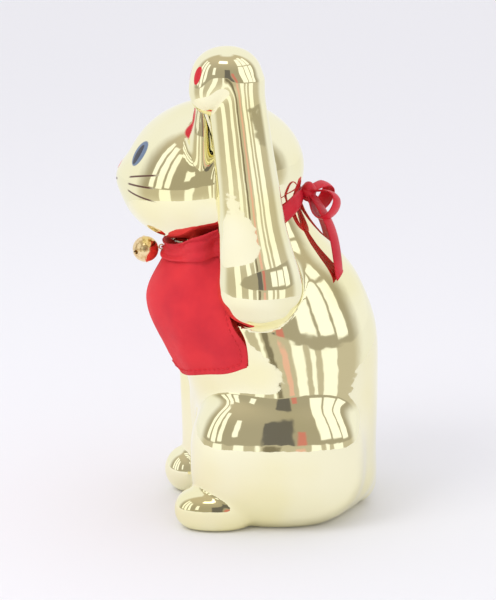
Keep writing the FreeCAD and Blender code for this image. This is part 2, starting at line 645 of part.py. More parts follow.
pellet_drop = ("(sizes.bell_radius - sizes.bell_sheet - sizes.pellet_radius"
               " - sizes.pellet_clearance)")
bell_pellet = primitive("Sphere", "bell_pellet", Radius="sizes.pellet_radius", y=BELL_Y,
                        z=f"{BELL_Z} - {pellet_drop}")
thread_ring = primitive("Torus", "thread_ring", Radius1=THREAD_REACH,
                        Radius2="sizes.thread_wire", y=BAND_FRONT, z=THREAD_Z)
bell_thread = cut("bell_thread", thread_ring, band_blank)


# ---------------------------------------------------------------- check and write
NODES = ["body_casting", "raised_arm", "bib_panel", "bib_neckband", "neck_ribbon", "bow_knot",
         "bow_loop_left", "bow_loop_right", "ribbon_tail_left", "ribbon_tail_right",
         "bell_thread", "bell_loop", "bell_back_shell", "bell_front_shell", "bell_pellet"]

doc.recompute()
for thing in doc.Objects:
    if "Invalid" in thing.State or "Error" in thing.State:
        raise RuntimeError(f"{thing.Name} did not build: {thing.getStatusString()}")
for node in NODES:
    shape = doc.getObject(node).Shape
    if shape.isNull() or not shape.isValid() or not shape.Solids:
        raise RuntimeError(f"{node} has no valid solid")
for node in NODES:
    thing = doc.getObject(node)
    thing.Label = node
    thing.Shape.exportStep(f"parts/{node}.step")
    print(f"{node}: {len(thing.Shape.Solids)} solid(s), {thing.Shape.Volume:.1f} mm3")

thread_at = Vector(0, thread_ring.Placement.Base.y - thread_ring.Radius1.Value,
                   thread_ring.Placement.Base.z)
print(f"bail pivot {thread_at}, bell centre {bell_back_shell.Placement.Base}")
print(f"pellet travel {2 * (size('bell_radius') - size('bell_sheet') - size('pellet_radius')):.2f}")
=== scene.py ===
# Beckoning cat figurine: gilt ceramic cat with a raised paw, red cloth bib, satin bow and
# brass bell. Shapes are worked out in millimetres, and MM turns them into metres.
import math

import bpy
import numpy as np
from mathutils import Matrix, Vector


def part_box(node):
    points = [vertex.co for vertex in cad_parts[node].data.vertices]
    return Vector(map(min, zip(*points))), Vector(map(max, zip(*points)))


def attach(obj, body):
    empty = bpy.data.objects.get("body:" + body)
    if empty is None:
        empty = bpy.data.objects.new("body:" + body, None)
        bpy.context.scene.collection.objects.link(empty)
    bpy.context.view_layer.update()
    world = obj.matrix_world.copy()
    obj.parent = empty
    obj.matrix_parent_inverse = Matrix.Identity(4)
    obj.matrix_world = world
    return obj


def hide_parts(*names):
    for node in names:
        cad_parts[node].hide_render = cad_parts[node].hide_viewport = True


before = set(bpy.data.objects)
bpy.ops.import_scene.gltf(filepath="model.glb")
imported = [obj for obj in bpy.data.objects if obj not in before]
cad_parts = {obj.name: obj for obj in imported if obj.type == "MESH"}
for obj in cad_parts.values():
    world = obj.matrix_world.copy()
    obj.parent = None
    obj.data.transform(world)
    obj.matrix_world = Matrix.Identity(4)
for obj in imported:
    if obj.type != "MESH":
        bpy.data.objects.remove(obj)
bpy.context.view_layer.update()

MM = 0.001


# ---------------------------------------------------------------- meshes
def mesh_piece(name, points, faces, normals=None):
    """A smooth-shaded mesh object from points in millimetres and a list of face rows."""
    mesh = bpy.data.meshes.new(name)
    mesh.from_pydata((np.asarray(points) * MM).tolist(), [], [f.tolist() for f in faces])
    mesh.polygons.foreach_set("use_smooth", np.ones(len(mesh.polygons), bool))
    mesh.update()
    if normals is not None:
        mesh.normals_split_custom_set_from_vertices(normals.tolist())
    piece = bpy.data.objects.new(name, mesh)
    bpy.context.scene.collection.objects.link(piece)
    return piece


def dress(piece, material, slot, body, *nodes):
    """Give a piece its material, let it ride, and let it stand for CAD nodes. The slot is not used."""
    piece.data.materials.clear()
    piece.data.materials.append(material)
    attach(piece, body)
    if nodes:
        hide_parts(*nodes)
    return piece


def grid_faces(rows, columns, round_rows=False, round_columns=False):
    """Quads of a grid of points stored row by row, closed across either edge if asked."""
    row = np.arange(rows if round_rows else rows - 1)
    column = np.arange(columns if round_columns else columns - 1)
    i, j = np.meshgrid(row, column, indexing="ij")
    i2, j2 = (i + 1) % rows, (j + 1) % columns
    ring = np.stack([i * columns + j, i * columns + j2, i2 * columns + j2, i2 * columns + j], -1)
    return ring.reshape(-1, 4)


def natural_curve(stations, values, at):
    """A curve through values at the stations whose slope and bend run on smoothly.

    Cubic pieces share their second derivative at each station, and it is zero at both ends.
    """
    s, v = np.asarray(stations, float), np.asarray(values, float)
    gap = np.diff(s)
    slope = np.diff(v) / gap
    count = len(s)
    system = np.eye(count)
    wanted = np.zeros(count)
    inner = np.arange(1, count - 1)
    system[inner, inner - 1] = gap[:-1]
    system[inner, inner] = 2 * (gap[:-1] + gap[1:])
    system[inner, inner + 1] = gap[1:]
    wanted[inner] = 6 * np.diff(slope)
    bend = np.linalg.solve(system, wanted)
    k = np.clip(np.searchsorted(s, at) - 1, 0, count - 2)
    t = np.clip(at, s[0], s[-1]) - s[k]
    h = gap[k]
    return (v[k] + t * (slope[k] - h * (2 * bend[k] + bend[k + 1]) / 6)
            + t**2 * bend[k] / 2 + t**3 * (bend[k + 1] - bend[k]) / (6 * h))


# ---------------------------------------------------------------- solid forms as fields
# A field is a number at each point: about the distance to the form's surface, negative
# inside. Points come as an array whose last axis is x, y, z.
def join(a, b, reach):
    """Both forms, with the crease between them filled over about reach.

    The lower value, less a cube of how close the two are.
    """
    close = np.clip(reach - np.abs(a - b), 0, None) / reach
    return np.minimum(a, b) - reach * close**3 / 6


def remove(a, b, reach):
    """The first form less the second, with the edge rounded over about reach."""
    return -join(-a, b, reach)


def rounded(p, middle, radii, power=2.0):
    """An ellipsoid, or with a higher power a fuller, flatter-sided one.

    The scaled offsets to the power add up to rho to the power, and the distance is rho
    less 1 over rho's gradient.
    """
    offset = p - np.asarray(middle, float)
    scaled = np.abs(offset) / radii + 1e-9
    rho = (scaled**power).sum(-1) ** (1 / power)
    slope = np.sqrt(((scaled ** (power - 1) / radii) ** 2).sum(-1)) * rho ** (1 - power)
    return (rho - 1) / slope


def stacked(p, heights, middle_x, middle_y, half_width, half_depth):
    """Ovals stacked up Z: each measure is a smooth curve through the values at the heights."""
    z = p[..., 2]
    curves = [natural_curve(heights, v, z) for v in (middle_x, middle_y, half_width, half_depth)]
    x = (p[..., 0] - curves[0]) / curves[2]
    y = (p[..., 1] - curves[1]) / curves[3]
    rho = np.sqrt(x * x + y * y) + 1e-9
    slope = np.sqrt((x / curves[2]) ** 2 + (y / curves[3]) ** 2) / rho
    return (rho - 1) / np.maximum(slope, 1e-4)


def mirrored(p):
    """Points with X made positive, for forms that both sides share."""
    return np.concatenate([np.abs(p[..., :1]), p[..., 1:]], -1)


# Torso sections from the floor up: height, middle on Y, half depth, half width.
TORSO = np.array([
    (0, 14, 35, 37), (7, 16.6, 40.5, 42.4), (22, 18, 42.5, 45), (45, 18, 42.5, 44.5),
    (68, 15, 45.5, 43), (88, 9.5, 49.5, 42), (104, 5.5, 48, 39.6), (116, 4, 42.5, 35.2),
    (128, 1, 34, 29.5), (141, -2, 28, 26), (152, -4, 26, 24)])
NAPE = 141
CRANIUM = ((0, -14, NAPE + 19.5), (38.5, 39.5, 31))
JAW = ((0, -21, NAPE + 10.5), (38, 36.5, 25.5))
MUZZLE = ((0, -50.2, NAPE + 15.0), (14.0, 9.4, 8.8))
HAUNCH_MIDDLE = (22, 13.5, 28)
HAUNCH_RADII = (28, 40, 40)
HAUNCH_SEAT = 30.5
HIND_FOOT = ((35, -14.5, 8.5), (12.5, 19, 10.8))
FORELEG_X, FORELEG_Y = -16, -20.5
FRONT_PAW = ((FORELEG_X, FORELEG_Y - 8, 10.5), (11.5, 11.5, 11.5))
STUB_TAIL = ((0, 50.5, 10.5), (13, 10, 10.5))
EAR_ROOT = (25.5, -20, NAPE + 30)
EAR_SIZE = (13.5, 7.5, 30)
EAR_SPLAY = math.radians(14)
DRAIN_RADIUS = 8
FOOT_EDGE = 2.2


def ear_place(p):
    """Points in the ear's own frame: its root at the origin and its tip up Z."""
    q = mirrored(p) - EAR_ROOT
    c, s = math.cos(EAR_SPLAY), math.sin(EAR_SPLAY)
    return np.stack([q[..., 0] * c - q[..., 2] * s, q[..., 1], q[..., 0] * s + q[..., 2] * c], -1)


def ear_field(p):
    """A flattened cone with full sides: the oval's share plus the height's share is one."""
    q = ear_place(p) / EAR_SIZE
    oval = np.sqrt(q[..., 0] ** 2 + q[..., 1] ** 2 + 1e-9)
    height = np.clip(q[..., 2], 0, None)
    cone = (oval**1.5 + height**1.35 - 1) * 6
    dish = rounded(ear_place(p), (0, -8.2, 15.5), (6.6, 6.2, 11))
    return remove(cone, dish, 1.6)


def hollow_field(p):
    """The room inside the casting, and the drain hole that opens it below."""
    room = rounded(p, (0, 13, 58), (30, 32, 50), 2.4)
    drain = np.maximum(np.hypot(p[..., 0], p[..., 1]) - DRAIN_RADIUS, p[..., 2] - 30)
    return join(room, drain, 2)


def body_field(p):
    """The cat without its raised arm."""
    q = mirrored(p)
    heights, middle, depth, width = TORSO.T
    torso = stacked(p, heights, 0 * heights, middle, width, depth)
    torso = -join(-torso, NAPE + 8 - p[..., 2], 4)
    reach = HAUNCH_SEAT + (HAUNCH_RADII[2] - HAUNCH_SEAT) * np.clip(
        (q[..., 2] - HAUNCH_MIDDLE[2] + 12) / 24, 0, 1)
    scaled = q - HAUNCH_MIDDLE
    scaled = np.concatenate([scaled[..., :2], (scaled[..., 2] * HAUNCH_RADII[2] / reach)[..., None]], -1)
    haunch = rounded(scaled, (0, 0, 0), HAUNCH_RADII, 2.6)
    foot = rounded(q, *HIND_FOOT, 2.3)
    leg_radius = 11 + 1.2 * np.clip((p[..., 2] - 30) / 36, 0, 1)
    leg = np.hypot(p[..., 0] - FORELEG_X, p[..., 1] - FORELEG_Y) - leg_radius
    leg = np.maximum(leg, p[..., 2] - 72)
    leg = np.maximum(leg, 8 - p[..., 2])
    paw = rounded(p, *FRONT_PAW)
    head = join(rounded(p, *CRANIUM), rounded(p, *JAW), 12)
    head = join(head, rounded(p, *MUZZLE), 7)
    head = join(head, ear_field(p), 3)
    form = join(torso, haunch, 5)
    form = join(form, leg, 7)
    form = join(form, join(paw, foot, 0.5), 3)
    form = join(form, rounded(p, *STUB_TAIL), 3)
    form = join(form, head, 5)
    form = -join(-form, p[..., 2], FOOT_EDGE)
    return remove(form, hollow_field(p), 1)


# Arm sections from the shoulder up: height, middle on X and Y, half width, half depth.
ARM = np.array([
    (112, 39.5, 5.5, 17, 18), (125, 42, 4.2, 14.5, 17), (140, 44.8, 2, 12.8, 15),
    (155, 46.9, 0.4, 12, 13.9), (170, 48.2, -1.4, 11.6, 13.2), (185, 48.5, -3.2, 11.3, 12.6),
    (204, 48.5, -5.6, 10.9, 12)])
ARM_BULB = ((40.2, 5.6, 112.5), (17.4, 18.2, 18.6))
ARM_PAW = ((48.5, -9.0, 206.8), (11.8, 15.2, 13.2))
ARM_FINGERS = ((48.5, -16.4, 200.4), (9.8, 8.6, 9.6))


def arm_field(p):
    """The raised arm: a round root, a tapering shaft and a bent paw with a lip under it."""
    heights, middle_x, middle_y, width, depth = ARM.T
    shaft = stacked(p, heights, middle_x, middle_y, width, depth)
    shaft = -join(-shaft, p[..., 2] - heights[0] + 4, 6)
    shaft = -join(-shaft, heights[-1] + 2 - p[..., 2], 4)
    arm = join(shaft, rounded(p, *ARM_BULB), 6)
    paw = join(rounded(p, *ARM_PAW, 2.1), rounded(p, *ARM_FINGERS), 5)
    return join(arm, paw, 1.4 + 5 * np.clip((p[..., 1] + 12) / 14, 0, 1))


def cat_field(p):
    """The whole cat: the arm's root flows into the shoulder above and meets it in a crease."""
    under = np.clip((p[..., 2] - 104) / 18, 0, 1)
    return join(body_field(p), arm_field(p), 1.5 + 9 * under**2 * (3 - 2 * under))


def slope_of(field, p, step=0.05):
    """The field's gradient by central differences."""
    return np.stack([(field(p + step * axis) - field(p - step * axis)) / (2 * step)
                     for axis in np.eye(3)], -1)


def skin(field, low, high, pitch):
    """A closed net of quads over the surface where a field is zero.

    Each cell that the surface crosses holds one point, the mean of the crossings on its
    edges, and each grid edge that it crosses is ringed by one quad.
    """
    axes = [np.arange(a, b + pitch, pitch) for a, b in zip(low, high)]
    value = field(np.stack(np.meshgrid(*axes, indexing="ij"), -1))
    cells = np.array(value.shape) - 1
    strides = np.array([cells[1] * cells[2], cells[2], 1])
    quads, owners, crossings = [], [], []
    for axis in range(3):
        ahead = np.moveaxis(value, axis, 0)
        first = np.moveaxis(ahead[:-1], 0, axis)
        second = np.moveaxis(ahead[1:], 0, axis)
        crossed = (first < 0) != (second < 0)
        place = np.argwhere(crossed)
        inside = first[crossed] < 0
        point = place.astype(float)
        point[:, axis] += first[crossed] / (first[crossed] - second[crossed])
        ring = []
        for back in ((1, 1), (0, 1), (0, 0), (1, 0)):
            cell = place.copy()
            cell[:, (axis + 1) % 3] -= back[0]
            cell[:, (axis + 2) % 3] -= back[1]
            ring.append(cell @ strides)
            owners.append(ring[-1])
            crossings.append(point)
        ring = np.stack(ring, 1)
        ring[~inside] = ring[~inside][:, ::-1]
        quads.append(ring)
    used, index = np.unique(np.concatenate(owners), return_inverse=True)
    crossings = np.concatenate(crossings)
    points = np.stack([np.bincount(index, crossings[:, k]) for k in range(3)], -1)
    points /= np.bincount(index)[:, None]
    return points * pitch + low, np.searchsorted(used, np.concatenate(quads))


def settle(field, points, quads, rounds=5):
    """Slide points to the middle of their neighbours along the surface, and back onto it."""
    a = quads.ravel()
    b = np.roll(quads, -1, 1).ravel()
    ends, others = np.concatenate([a, b]), np.concatenate([b, a])
    count = np.bincount(ends, minlength=len(points))[:, None]
    for turn in range(rounds + 2):
        slope = slope_of(field, points)
        square = (slope**2).sum(-1, keepdims=True)
        points = points - field(points)[:, None] * slope / square
        if turn < rounds:
            mean = np.stack([np.bincount(ends, points[others, k]) for k in range(3)], -1) / count
            step = mean - points
            points = points + 0.6 * (step - (step * slope).sum(-1, keepdims=True) * slope / square)
    slope = slope_of(field, points)
    return points, slope / np.linalg.norm(slope, axis=-1, keepdims=True)


def cut_out(name, points, quads, normals, keep, sink):
    """The kept quads as a piece, closed by a fan to a point sunk inside where it was cut."""
    mine = quads[keep]
    edges = np.stack([mine, np.roll(mine, -1, 1)], -1).reshape(-1, 2)
    code = edges[:, 0] * len(points) + edges[:, 1]
    back = edges[:, 1] * len(points) + edges[:, 0]
    border = edges[~np.isin(code, back)]
    used = np.unique(mine)
    centre = points[np.unique(border)].mean(0) + sink
    cap = np.column_stack([np.searchsorted(used, border[:, ::-1]), np.full(len(border), len(used))])
    faces = list(np.searchsorted(used, mine)) + list(cap)
    return mesh_piece(name, np.vstack([points[used], centre]), faces,
                      np.vstack([normals[used], [0, 0, 1]]))


PITCH = 1.25
low_corner = np.array([-51.5, -61.5, -1.6])
high_corner = np.array([63, 62.5, 221.5])
net, net_quads = skin(cat_field, low_corner, high_corner, PITCH)
net, net_normals = settle(cat_field, net, net_quads)
face_middle = net[net_quads].mean(1)
on_arm = arm_field(face_middle) < body_field(face_middle)
cat_casting = cut_out("cat_casting", net, net_quads, net_normals, ~on_arm, (-6, 0, 0))
beckoning_arm = cut_out("beckoning_arm", net, net_quads, net_normals, on_arm, (4, 0, 0))


# ---------------------------------------------------------------- shader arithmetic
class Signal:
    """A socket in a node tree. Arithmetic on it adds Math nodes."""

    def __init__(self, tree, socket):
        self.tree = tree
        self.socket = socket

    def maths(self, operation, *values):
        return self.tree.node("ShaderNodeMath", {"operation": operation}, dict(enumerate(values)))

    def __add__(self, other):
        return self.maths("ADD", self, other)

    def __sub__(self, other):
        return self.maths("SUBTRACT", self, other)

    def __rsub__(self, other):
        return self.maths("SUBTRACT", other, self)

    def __mul__(self, other):
        return self.maths("MULTIPLY", self, other)

    def __truediv__(self, other):
        return self.maths("DIVIDE", self, other)

    def __pow__(self, other):
        return self.maths("POWER", self, other)

    __radd__ = __add__
    __rmul__ = __mul__

    def size(self):
        return self.maths("ABSOLUTE", self)

    def wave(self):
        return self.maths("SINE", self)

    def most(self, other):
        return self.maths("MAXIMUM", self, other)

    def ramp(self, low, high):
        """Zero below low and one above high, eased in between; low may be above high."""
        return self.tree.node("ShaderNodeMapRange", {"interpolation_type": "SMOOTHSTEP"},
                              {"Value": self, "From Min": low, "From Max": high})


class Tree:
    """The nodes of one material or of the world."""

    def __init__(self, owner):
        owner.use_nodes = True
        self.nodes = owner.node_tree.nodes
        self.links = owner.node_tree.links
        self.nodes.clear()

    def node(self, kind, settings=None, inputs=None, output=0):
        """Add a node: its settings first, then its sockets' values or links."""
        made = self.nodes.new(kind)
        for name, value in (settings or {}).items():
            setattr(made, name, value)
        for name, value in (inputs or {}).items():
            if isinstance(value, Signal):
                self.links.new(value.socket, made.inputs[name])
            else:
                made.inputs[name].default_value = value
        return Signal(self, made.outputs[output])

    def parts(self, vector):
        """The x, y and z of a vector."""
        split = self.node("ShaderNodeSeparateXYZ", None, {0: vector}).socket.node
        return [Signal(self, socket) for socket in split.outputs]

    def mix(self, factor, a, b):
        """Colour a turning into colour b."""
        return self.node("ShaderNodeMix", {"data_type": "RGBA"}, {0: factor, 6: a, 7: b}, 2)

    def place(self, scale=(1, 1, 1), turn=(0, 0, 0), shift=(0, 0, 0)):
        """Object coordinates in millimetres, centred, turned and scaled by a Mapping node."""
        here = self.node("ShaderNodeTexCoord", None, None, 3)
        return self.node("ShaderNodeMapping", None, {
            "Vector": here, "Location": shift, "Rotation": turn,
            "Scale": tuple(value / MM for value in scale)})

    def noise(self, vector, scale, detail=2.0, roughness=0.5):
        """Fractal noise from 0 to 1; scale is how many of its waves fit in one unit."""
        return self.node("ShaderNodeTexNoise", None, {
            "Vector": vector, "Scale": scale, "Detail": detail, "Roughness": roughness})

    def bump(self, height, distance, strength=1.0):
        """A normal from a height of 0 to 1 that stands for distance in millimetres."""
        return self.node("ShaderNodeBump", None, {
            "Height": height, "Distance": distance * MM, "Strength": strength})

    def finish(self, inputs):
        """The surface itself, wired to the output."""
        shader = self.node("ShaderNodeBsdfPrincipled", None, inputs)
        self.node_output("ShaderNodeOutputMaterial", shader)

    def node_output(self, kind, shader):
        self.links.new(shader.socket, self.nodes.new(kind).inputs["Surface"])


def colour(red, green, blue):
    """A colour from display values of 0 to 255, as the linear ones that shaders take."""
    values = np.array([red, green, blue]) / 255
    linear = np.where(values < 0.04045, values / 12.92, ((values + 0.055) / 1.055) ** 2.4)
    return (*linear.tolist(), 1.0)


# ---------------------------------------------------------------- glaze and paint
GILT = (0.972, 0.935, 0.66, 1.0)
GILT_DEEP = (0.955, 0.905, 0.57, 1.0)
BARE_CLAY = colour(222, 214, 198)
EYE_BLUE = colour(96, 116, 142)
EYE_DARK = colour(30, 36, 52)
NOSE_PINK = colour(226, 122, 104)
EAR_RED = colour(205, 32, 44)
MOUTH_BROWN = colour(92, 60, 44)


def gilt_glaze(name, on_body):
    """Mirror-bright gold glaze, a little wavy, with the cat's painted details on it."""
    material = bpy.data.materials.new(name)
    tree = Tree(material)
    here = tree.place()
    x, y, z = tree.parts(here)
    side = x.size()
    swell = tree.noise(here, 0.035, 1.0)
    grain = tree.noise(here, 1.6, 3.0)
    base = tree.mix(swell.ramp(0.35, 0.7), GILT, GILT_DEEP)
    rough = 0.035 + 0.03 * grain.ramp(0.45, 0.8)
    metal = 1.0

    def spot(middle, radii, across=side, edge=0.12):
        """One inside an ellipsoid and zero outside it."""
        terms = [((axis - m) / r) ** 2 for axis, m, r in zip((across, y, z), middle, radii)]
        return (terms[0] + terms[1] + terms[2]).ramp(1 + edge, 1 - edge)

    def paint(mask, tint):
        nonlocal base, rough, metal
        base = tree.mix(mask, base, tint)
        rough = rough + mask * 0.2
        metal = metal - mask if isinstance(metal, Signal) else 1.0 - mask

    if on_body:
        eye = spot((17.5, -47, NAPE + 27.7), (4.3, 9, 5.9))
        pupil = spot((17.2, -47, NAPE + 27.2), (2.0, 9, 4.6))
        paint(eye, tree.mix(pupil, EYE_BLUE, EYE_DARK))
        paint(spot((0, -59, NAPE + 20.6), (3.6, 4.5, 2.1)), NOSE_PINK)
        front = y.ramp(-44, -48)
        lip = ((z - (NAPE + 14.2) - side * 0.1) / 0.55).size().ramp(1.15, 0.85)
        lip = lip * side.ramp(7.2, 6.6) * front
        seam = (side / 0.5).size().ramp(1.2, 0.8)
        seam = seam * z.ramp(NAPE + 13.8, NAPE + 14.4) * z.ramp(NAPE + 19, NAPE + 18.4)
        paint(lip.most(seam * front), MOUTH_BROWN)
        for start, slant in ((NAPE + 17.5, 0.22), (NAPE + 14.5, 0.02), (NAPE + 11.5, -0.18)):
            hair = ((z - start - (side - 18) * slant) / 0.42).size().ramp(1.2, 0.8)
            paint(hair * side.ramp(17, 19) * side.ramp(33, 30) * y.ramp(-22, -26), MOUTH_BROWN)
        inner = spot((26 + 4.0, -24.5, NAPE + 46), (6.2, 7.0, 9.6))
        paint(inner * y.ramp(-19.0, -20.0), EAR_RED)
        bare = z.ramp(0.25, 0.6) * spot((0, 13, 56), (31.5, 33.5, 60))
        paint(bare, BARE_CLAY)
    else:
        for turn in (-38, 0, 38):
            claw_x = 48.5 + 12 * math.sin(math.radians(turn))
            claw_y = -9 - 17 * math.cos(math.radians(turn))
            paint(spot((claw_x, claw_y, 208.5), (1.5, 5, 4.2), across=x), EAR_RED)
    height = tree.noise(here, 0.09, 2.0)
    tree.finish({"Base Color": base, "Metallic": metal, "Roughness": rough,
                 "Normal": tree.bump(height, 0.25, 0.5)})
    return material


dress(cat_casting, gilt_glaze("gilt_body", True), "gilt_glaze", "cat", "body_casting")
dress(beckoning_arm, gilt_glaze("gilt_arm", False), "gilt_glaze", "cat", "raised_arm")


# ---------------------------------------------------------------- cloth, ribbon and metal
def ease(value, low, high):
    """Zero at low and one at high, level at both; low may be above high."""
    t = np.clip((value - low) / (high - low), 0, 1)
    return t * t * (3 - 2 * t)


def clear_of_cat(points, gap, rounds=6):
    """Points moved out along the casting's slope until they are at least gap from it."""
    for _ in range(rounds):
        slope = slope_of(body_field, points)
        slope /= np.linalg.norm(slope, axis=-1, keepdims=True)
        points = points + np.clip(gap - body_field(points), 0, None)[..., None] * slope
    return points


def cloth_piece(name, points, flat, thickness=None, closed=False, offset=0):
    """A grid of points as cloth, with each point's flat place in metres as its UV.

    An open grid gets its thickness from Solidify, and a closed one has its poles welded.
    """
    rows, columns = points.shape[:2]
    faces = grid_faces(rows, columns, round_columns=closed)
    piece = mesh_piece(name, points.reshape(-1, 3), list(faces))
    flat_map = piece.data.uv_layers.new(name="cloth")
    corner = np.empty(len(piece.data.loops), int)
    piece.data.loops.foreach_get("vertex_index", corner)
    flat_map.data.foreach_set("uv", (flat.reshape(-1, 2)[corner] * MM).ravel())
    if thickness:
        solid = piece.modifiers.new("thickness", "SOLIDIFY")
        solid.thickness = thickness * MM
        solid.offset = offset
    if closed:
        piece.modifiers.new("poles", "WELD").merge_threshold = 0.001 * MM
    return piece


def run_length(points, axis):
    """How far along a grid each point is, in steps added up along one axis."""
    step = np.linalg.norm(np.diff(points, axis=axis), axis=-1)
    first = np.zeros_like(np.take(step, [0], axis))
    return np.concatenate([first, np.cumsum(step, axis)], axis)


def woven_red(name, tint, shade, thread, sheen, rough, depth):
    """Dyed cloth: crossed threads in relief, uneven dye and a soft nap."""
    material = bpy.data.materials.new(name)
    tree = Tree(material)
    flat = tree.node("ShaderNodeUVMap", {"uv_map": "cloth"})
    along, across, _ = tree.parts(flat)
    turns = 2 * math.pi / (thread * MM)
    warp, weft = (along * turns).wave(), (across * turns).wave()
    weave = (warp * weft) * 0.5 + 0.5
    here = tree.place()
    dye = tree.noise(here, 0.05, 3.0)
    slub = tree.noise(here, 0.9, 2.0)
    base = tree.mix(dye.ramp(0.3, 0.75), tint, shade)
    base = tree.mix(weave * 0.22, base, shade)
    base = tree.mix(slub.ramp(0.5, 0.85) * 0.25, base, tint)
    height = weave * 0.6 + slub * 0.4
    tree.finish({"Base Color": base, "Roughness": rough + 0.12 * slub, "Specular IOR Level": 0.3,
                 "Sheen Weight": sheen, "Sheen Roughness": 0.4, "Sheen Tint": tint,
                 "Normal": tree.bump(height, depth, 0.7)})
    return material


COTTON_RED = (0.80, 0.035, 0.045, 1.0)
COTTON_SHADE = (0.62, 0.02, 0.035, 1.0)
SATIN_RED = (0.78, 0.02, 0.04, 1.0)
SATIN_SHADE = (0.52, 0.01, 0.025, 1.0)
bib_cotton = woven_red("bib_cotton", COTTON_RED, COTTON_SHADE, 0.55, 0.35, 0.62, 0.12)
ribbon_satin = woven_red("ribbon_satin", SATIN_RED, SATIN_SHADE, 0.3, 0.2, 0.28, 0.05)

def spun_thread():
    """Twisted red sewing thread: slanted strands in relief."""
    material = bpy.data.materials.new("spun_thread")
    tree = Tree(material)
    x, y, z = tree.parts(tree.place())
    strand = ((x + y + z) * 14).wave() * 0.5 + 0.5
    base = tree.mix(strand, COTTON_SHADE, COTTON_RED)
    tree.finish({"Base Color": base, "Roughness": 0.75, "Normal": tree.bump(strand, 0.05)})
    return material


BAND_CLOTH = 0.6  # thickness of the band's cloth
BIB_CLOTH = 0.7  # thickness of the bib's cloth
# The neckband's circle: its middle, its radius and its rise to the rear.
COLLAR_MIDDLE = (0, -6.8, 132.5)
COLLAR_RADIUS = 31.5
COLLAR_TILT = math.radians(18.6)


def collar(turn, rise=0.0, reach=0.0):
    """Points of the tilted collar circle, turn round from the front.

    A point goes out by reach and up by rise in the circle's own tilted frame.
    """
    turn, up, radius = np.broadcast_arrays(turn, rise, COLLAR_RADIUS + reach)
    x, y = radius * np.sin(turn), -radius * np.cos(turn)
    c, s = math.cos(COLLAR_TILT), math.sin(COLLAR_TILT)
    return np.stack([x + COLLAR_MIDDLE[0], COLLAR_MIDDLE[1] + y * c - up * s,
                     COLLAR_MIDDLE[2] + y * s + up * c], -1)


def neckband():
    """The folded band: one strip of cloth doubled over its top edge, carried round the neck.

    The section goes from the inner raw edge over the fold to the outer raw edge, as a flat
    rounded loop left open below, with long creases on the outside. Its top edge rises at the
    sides, where the band is slack and lies over the cheeks.
    """
    turn = np.radians(np.linspace(-113, 113, 281))[:, None]
    round_section = np.linspace(0.04 - math.pi, math.pi - 0.04, 57)[None, :]
    c, s = np.cos(round_section), np.sin(round_section)
    tall = np.sign(c) * np.abs(c) ** 0.9
    stout = np.sign(s) * np.abs(s) ** 0.5
    degrees = np.abs(np.degrees(turn))
    top = 5.2 + 6.0 * ease(degrees, 36, 68) * ease(degrees, 108, 84)
    low = -5.4 - 0.5 * np.sin(4.3 * turn)
    share = (tall + 1) / 2
    rise = low + (top - low) * share
    middle = clear_of_cat(collar(turn, rise), 2.4)
    fold = 1 - np.abs(np.sin(math.pi * (2.6 * share + 0.32 * np.sin(2.1 * turn + 0.4))))
    wrinkle = np.sin(11 * turn + 5 * share) * np.sin(3.7 * turn) * 0.12
    outward = np.concatenate([np.sin(turn), -np.cos(turn), 0 * turn], -1)[:, None, :]
    push = stout * 1.3 - np.where(stout > 0, 1.0 * fold * (1 - np.abs(tall) ** 6), 0) + wrinkle
    points = middle + push[..., None] * outward
    flat = np.stack([run_length(points, 0), run_length(points, 1)], -1)
    return cloth_piece("bib_neckband_cloth", points, flat, BAND_CLOTH, offset=-1), points


BIB_LOW = ((0, 25, 47, 62, 74, 90), (64.8, 66.4, 69.8, 70.6, 72.4, 78))


def bib():
    """The bib: cloth wrapped round the chest, hung from the band, with soft pleats.

    At each bearing and height the radius is the one at which the casting is gap away. The
    gap grows down the chest, and cosines of the bearing that grow with it make the pleats.
    """
    turn = np.radians(np.linspace(-97, 97, 221))[None, :]
    down = np.linspace(0, 1, 121)[:, None]
    top = collar(turn, -3.2, 1.0)
    bearing = np.arctan2(top[..., 0], -top[..., 1])
    edge = np.abs(bearing) / bearing.max()
    sway = 0.05 * np.sin(7.5 * down + 1.2) * edge**6 - 0.10 * (1 - down) * edge**4
    bearing = bearing * (1 + sway) + 0 * down
    low = natural_curve(*BIB_LOW, np.degrees(np.abs(bearing)))
    low = low + 0.8 * np.sin(6.2 * bearing + 0.7) * ease(down, 0.3, 1)
    height = top[..., 2] + (low - top[..., 2]) * down
    gap = 1.3 + 2.6 * ease(down, 0, 0.4) - 0.6 * ease(down, 0.45, 0.8) - 1.4 * ease(down, 0.86, 1.05)
    gap = gap - 1.6 * edge**5 * ease(down, 0.1, 0.6)
    pleat = np.cos(7.1 * bearing + 0.5) + 0.55 * np.cos(12.7 * bearing + 1.9)
    gap = gap + pleat * (0.18 + 0.75 * ease(down, 0.1, 1.0))
    drag = np.sin(9 * bearing - 5.5 * down + 0.9) * 0.35 * ease(np.abs(bearing), 0.5, 1.2)
    gap = gap + drag * ease(down, 0, 0.2)
    gap = gap + 2.2 * np.sin(15 * down - 2.2) * edge**14 * ease(down, 0.35, 0.7)
    turned = np.maximum(ease(down, 0.945, 0.965), ease(edge, 0.955, 0.968))
    gap = gap + 0.45 * turned
    radius = np.full(gap.shape, 45.0)
    for _ in range(16):
        points = np.stack([radius * np.sin(bearing), -radius * np.cos(bearing), height], -1)
        radius = radius + 0.8 * (gap - body_field(points))
    flat = np.stack([run_length(points, 1), run_length(points, 0)], -1)
    return cloth_piece("bib_cloth", points, flat, BIB_CLOTH), points


STITCH_INSET = (4, 5)  # columns and rows of the bib's grid from its edge to its stitches
STITCH_PITCH, STITCH_LENGTH, STITCH_RADIUS = 2.6, 1.7, 0.24


